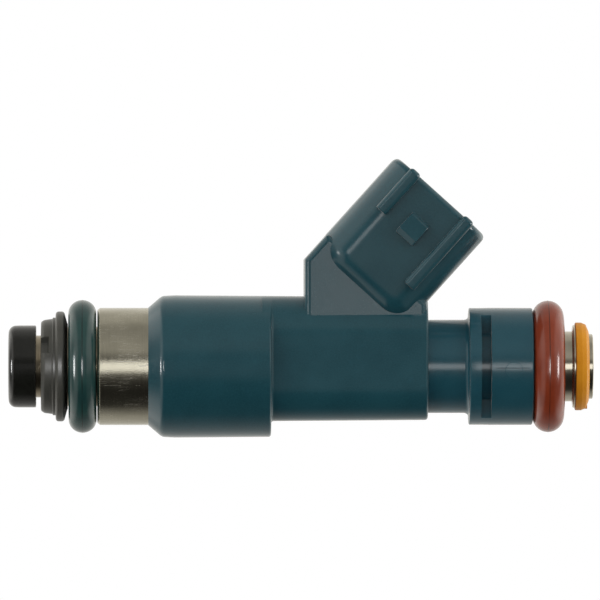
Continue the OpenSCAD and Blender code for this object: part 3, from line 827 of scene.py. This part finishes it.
def blue_nylon(name, tone, dark, rough, grain, depth, marks=False):
    """Blue glass-filled nylon, with a lighter bloom where the glass shows, and handling rubs. The mould has left
    a parting line down the collar's front and the round mark of a pin."""
    nylon = Finish(name, sheen_weight=0.22, sheen_roughness=0.35)
    flow = nylon.noise(3.5, 3.0)
    speckle = nylon.noise(grain, 2.0)
    fibre = nylon.noise(0.09, 2.0, (1, 1, 4))
    rub = nylon.noise(1.1, 5.0).rise(0.6, 0.78)
    colour = nylon.blend(dark, tone, (flow * 0.5 + speckle * 0.5).rise(0.3, 0.68))
    colour = nylon.blend(colour, srgb(60, 112, 126), (fibre.rise(0.62, 0.8) + rub) * 0.1)
    height = speckle * 0.75 + fibre * 0.25
    if marks:
        x, z = nylon.along("X"), nylon.along("Z")
        front = (0.0 - nylon.along("Y")).rise(4.0, 5.0)
        span = z.rise(53.7, 54.3) * (1.0 - z.rise(57.2, 57.9))
        seam = (1.0 - abs(x - 0.15).rise(0.015, 0.05)) * span * front
        pin_x, pin_z = x - 0.43, z - 55.9
        pin = (1.0 - (pin_x * pin_x + pin_z * pin_z).rise(0.84, 0.96)) * front
        colour = nylon.blend(nylon.blend(colour, srgb(56, 104, 118), pin * 0.12), srgb(14, 34, 40), seam * 0.75)
        height = height + pin * 16.0 - seam * 16.0
    nylon.feed("Base Color", colour)
    nylon.feed("Roughness", (speckle - 0.5) * 0.2 - rub * 0.06 + (flow - 0.5) * 0.1 + rough)
    nylon.relief(height, depth)
    return nylon.material


grained_blue = blue_nylon("grained blue nylon", srgb(34, 82, 94), srgb(29, 74, 86), 0.2, 0.16, 0.0012)
smooth_blue = blue_nylon("smooth blue nylon", srgb(37, 87, 102), srgb(32, 80, 95), 0.2, 0.14, 0.0008, True)
piece("grained_barrel", textured_mesh, grained_blue, "injector_body", "blue_plastic", "overmold_body", sharp=30)
piece("smooth_collar", collar_mesh, smooth_blue, "injector_body", "blue_plastic", "overmold_body", sharp=30)
matt_blue = blue_nylon("matt blue nylon", srgb(34, 82, 94), srgb(29, 74, 86), 0.24, 0.2, 0.005)
piece("web_plate", web_mesh, matt_blue, "injector_body", "blue_plastic", "overmold_body", sharp=30)
piece("connector_shell", connector_mesh, grained_blue, "injector_body", "blue_plastic", "overmold_body", sharp=30)

# ---- Upper O-ring ---------------------------------------------------------------------------------------
# Red-brown fluorocarbon rubber, the same kind of moulding as the lower one, seated on the collar.

upper_low, upper_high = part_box("upper_o_ring")
upper_cord = 1000 * (upper_high.z - upper_low.z) / 2
upper_z = 1000 * (upper_high.z + upper_low.z) / 2
brown_rubber = seal_rubber("brown seal rubber", srgb(150, 64, 38), srgb(134, 54, 30), 0.21, upper_z)
piece(
    "upper_seal",
    seal_ring("upper_seal", 1000 * upper_high.x - upper_cord, upper_cord, upper_z, tube_r, 0.015),
    brown_rubber,
    "injector_body",
    "brown_rubber",
    "upper_o_ring",
)

# ---- O-ring retainer ------------------------------------------------------------------------------------
# Yellow nylon ring pressed over the tube's end, with a bevelled top edge. It keeps the upper O-ring on.

keep_low, keep_high = (1000 * corner.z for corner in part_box("o_ring_retainer"))
keep_r = 1000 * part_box("o_ring_retainer")[1].x
stub_low, stub_high, stub_half, stub_r = 63.62, 64.2, 0.5, 4.7
yellow_nylon = moulded(
    "yellow nylon", srgb(240, 162, 42), srgb(228, 147, 32), 0.5, 0.12, 0.004, specular_tint=(0.9, 0.6, 0.3, 1)
)
ring_blank = bpy.data.objects.new("ring_blank", turned(
    "ring_blank",
    rounded([
        (neck_r, keep_low, 0.04), (keep_r, keep_low, 0.12), (keep_r, 63.52, 0.05), (4.79, 63.7, 0.3),
        (4.66, 64.02, 0.2), (3.9, keep_high, 0.12), (neck_r, keep_high, 0.03),
    ]),
    224,
))
bpy.context.collection.objects.link(ring_blank)
stub_line = box_outline(3.8, stub_r, stub_half, 0.05, 0.12, 0)
stub = solid("stub", stacked([stub_line, stub_line], [stub_low, stub_high]))
piece(
    "yellow_retainer",
    shaped("yellow_retainer", ring_blank, ("UNION", stub)),
    yellow_nylon,
    "injector_body",
    "yellow_plastic",
    "o_ring_retainer",
)

# ---- Inlet filter ---------------------------------------------------------------------------------------
# Brass ring pressed into the tube, a black nylon basket moulded to it, and woven nylon mesh round the basket.

brass = ground_steel("drawn brass", srgb(206, 168, 96), srgb(168, 130, 68), 0.3, (40, 40, 1))
wear(brass, "filter_ring")
wear(moulded("basket nylon", srgb(40, 40, 40), srgb(30, 30, 30), 0.5, 0.2, 0.01), "filter_frame")

weave = Finish("filter weave", roughness=0.6)
thread = 0.1
warp = weave.add("ShaderNodeMath", {"operation": "SINE"}, {0: weave.along("Z") * (2 * np.pi / thread)})
round_tube = weave.add("ShaderNodeMath", {"operation": "ARCTAN2"}, {0: weave.along("Y"), 1: weave.along("X")})
weft = weave.add("ShaderNodeMath", {"operation": "SINE"}, {0: round_tube * 110.0})
mesh_height = warp.most(weft)
weave.feed("Base Color", weave.blend(srgb(96, 96, 90), srgb(214, 213, 204), mesh_height.rise(-0.4, 0.6)))
weave.feed("Roughness", 0.7 - mesh_height * 0.15)
weave.relief(mesh_height, 0.02)
wear(weave.material, "filter_mesh")

# ---- Studio ---------------------------------------------------------------------------------------------
# A white sweep under a sky that is paler above, behind and at both ends. A broad fill in front lights every
# piece, and each other lamp is mirrored only in the few pieces it names, so the highlights are placed one by
# one. The camera looks nearly square on at the latch side, with the nozzle to its left.

world = bpy.data.worlds.new("studio")
world.use_nodes = True
world.node_tree.nodes.clear()
bpy.context.scene.world = world
studio = Graph(world.node_tree)
heading = studio.add("ShaderNodeTexCoord", {}, {}, "Generated")
toward_x = studio.add("ShaderNodeSeparateXYZ", {}, {"Vector": heading}, "X")
toward_y = studio.add("ShaderNodeSeparateXYZ", {}, {"Vector": heading}, "Y")
toward_z = studio.add("ShaderNodeSeparateXYZ", {}, {"Vector": heading}, "Z")
# angle round the injector's axis: 0 towards the camera, positive towards the connector, as a share of a turn
turn = studio.add("ShaderNodeMath", {"operation": "ARCTAN2"}, {0: toward_x * -1.0, 1: toward_y * -1.0})
share = turn * (0.5 / np.pi) + 0.5


def stops(*pairs):
    """Ramp stops from pairs of an angle in degrees and a brightness."""
    return [(0.5 + angle / 360, level) for angle, level in pairs]


surround = studio.add(
    "ShaderNodeValToRGB",
    {"stops": stops(
        (-180, 0.95), (-150, 0.62), (-117, 0.44), (-97, 0.19), (-84, 0.035), (-50, 0.02), (-26, 0.045),
        (-14, 0.16), (14, 0.13), (20, 0.2), (30, 0.44), (50, 0.4), (72, 0.34), (88, 0.36), (100, 0.5),
        (125, 0.6), (150, 0.85), (180, 0.95),
    )},
    {"Fac": share},
)
# paler walls at both ends, shaded in front and below
below = 1.0 - abs(turn + 0.9).rise(0.5, 0.9)
ends = abs(toward_z).rise(0.45, 0.62) * (toward_z.rise(-0.97, -0.82) * 0.85 + 0.15)
ends = ends * (1.0 - below * toward_z.rise(0.0, 0.2) * 0.75)
glow = surround + ends * 0.8
seen = studio.add("ShaderNodeLightPath", {}, {}, "Is Camera Ray")
sky = studio.add("ShaderNodeBackground", {}, {"Color": (1, 0.98, 0.925, 1), "Strength": glow})
sweep = studio.add("ShaderNodeBackground", {}, {"Color": (1, 1, 1, 1), "Strength": 1.0})
both = studio.add("ShaderNodeMixShader", {}, {0: seen, 1: sky, 2: sweep})
studio.add("ShaderNodeOutputWorld", {}, {"Surface": both})

nearest, step_back, middle = 2.0, 0.02, 0.03


def soft_box(name, degrees, half_turn, half_z, glow, *lit, side=0):
    """Rectangular lamp in front of the injector, turned by degrees towards the inlet and by side towards the
    connector. It is mirrored only in the pieces it is aimed at, or with none given it lights all of them and is
    mirrored in none. Its brightness is its power over four times its area."""
    away = nearest + step_back * len(bpy.data.lights)
    lamp = bpy.data.lights.new(name, "AREA")
    lamp.shape = "RECTANGLE"
    lamp.size, lamp.size_y = 2 * away * half_turn, 2 * away * half_z
    lamp.energy = 4 * lamp.size * lamp.size_y * glow
    holder = bpy.data.objects.new(name, lamp)
    bpy.context.collection.objects.link(holder)
    sin, cos = np.sin(np.radians(degrees)), np.cos(np.radians(degrees))
    holder.matrix_world = Matrix.Rotation(np.radians(-side), 4, "Z") @ Matrix(
        ((1, 0, 0, 0), (0, sin, -cos, -away * cos), (0, cos, sin, middle + away * sin), (0, 0, 0, 1))
    )
    holder.visible_camera = False
    holder.visible_diffuse, holder.visible_glossy = not lit, bool(lit)
    if lit:
        pieces = bpy.data.collections.new(name + " pieces")
        for piece_name in lit:
            pieces.objects.link(bpy.data.objects[piece_name])
        holder.light_linking.receiver_collection = pieces


soft_box("front fill", 0, 0.3, 0.3, 1.45)
soft_box("can box", -3, 0.17, 0.3, 1.15, "satin_can")
soft_box("tube box", 0, 0.15, 0.3, 1.35, "beaded_inlet_tube")
soft_box("ring box", 0, 0.14, 0.3, 9.0, "notched_spacer")
soft_box("seal box", 0, 0.2, 0.1, 17.0, "lower_seal", "upper_seal")
soft_box("collar box", 6, 0.11, 0.16, 3.2, "smooth_collar")
soft_box("web box", 6.6, 0.3, 0.093, 2.3, "web_plate")
soft_box("fill box", 0, 0.3, 0.3, 0.13, "connector_shell")
soft_box("nozzle lamp", -66, 0.2, 0.09, 22.0, "lower_seal", "pressed_cap")
soft_box("shell lamp", -11, 0.1, 0.1, 2.6, "connector_shell", side=10)
soft_box("foot lamp", -56, 0.12, 0.06, 6.0, "connector_shell", "web_plate")
soft_box("shoulder lamp", -62, 0.13, 0.05, 30.0, "grained_barrel")
soft_box("barrel lamp", -24, 0.12, 0.04, 12.0, "grained_barrel")
soft_box("cap lamp", 0, 0.13, 0.2, 0.12, "pressed_cap")
soft_box("inlet lamp", 66, 0.2, 0.09, 19.0, "upper_seal", "connector_shell")

floor_drop, floor_r, floor_sides = 0.02, 0.25, 96
rim = np.linspace(0, 2 * np.pi, floor_sides, endpoint=False)
floor_rim = np.stack([floor_r * np.cos(rim), floor_r * np.sin(rim), np.full(floor_sides, -floor_drop)], -1)
floor_mesh = bpy.data.meshes.new("floor")
floor_mesh.from_pydata(floor_rim.tolist(), [], [list(range(floor_sides))])
floor = bpy.data.objects.new("floor", floor_mesh)
bpy.context.collection.objects.link(floor)
pale = Finish("pale sweep", roughness=0.8, base_color=(0.9, 0.9, 0.9, 1))
floor_mesh.materials.append(pale.material)
floor.visible_diffuse = floor.visible_glossy = floor.visible_shadow = False

distance, frame_width, stand_x, stand_z, aim_z = 1.134, 0.0666, -0.00737, 0.0168, 0.03233
swing = np.arctan2(aim_z - stand_z, distance)
camera_data = bpy.data.cameras.new("camera")
camera_data.sensor_width = 36
camera_data.lens = 36 * distance / frame_width
camera_data.clip_start, camera_data.clip_end = 0.01, 10
camera = bpy.data.objects.new("camera", camera_data)
bpy.context.collection.objects.link(camera)
camera.matrix_world = Matrix.Translation((stand_x, -distance, stand_z)) @ Matrix((
    (0, -1, 0, 0), (-np.sin(swing), 0, -np.cos(swing), 0), (np.cos(swing), 0, -np.sin(swing), 0), (0, 0, 0, 1)
))
bpy.context.scene.camera = camera
bpy.context.scene.view_settings.view_transform = "Standard"
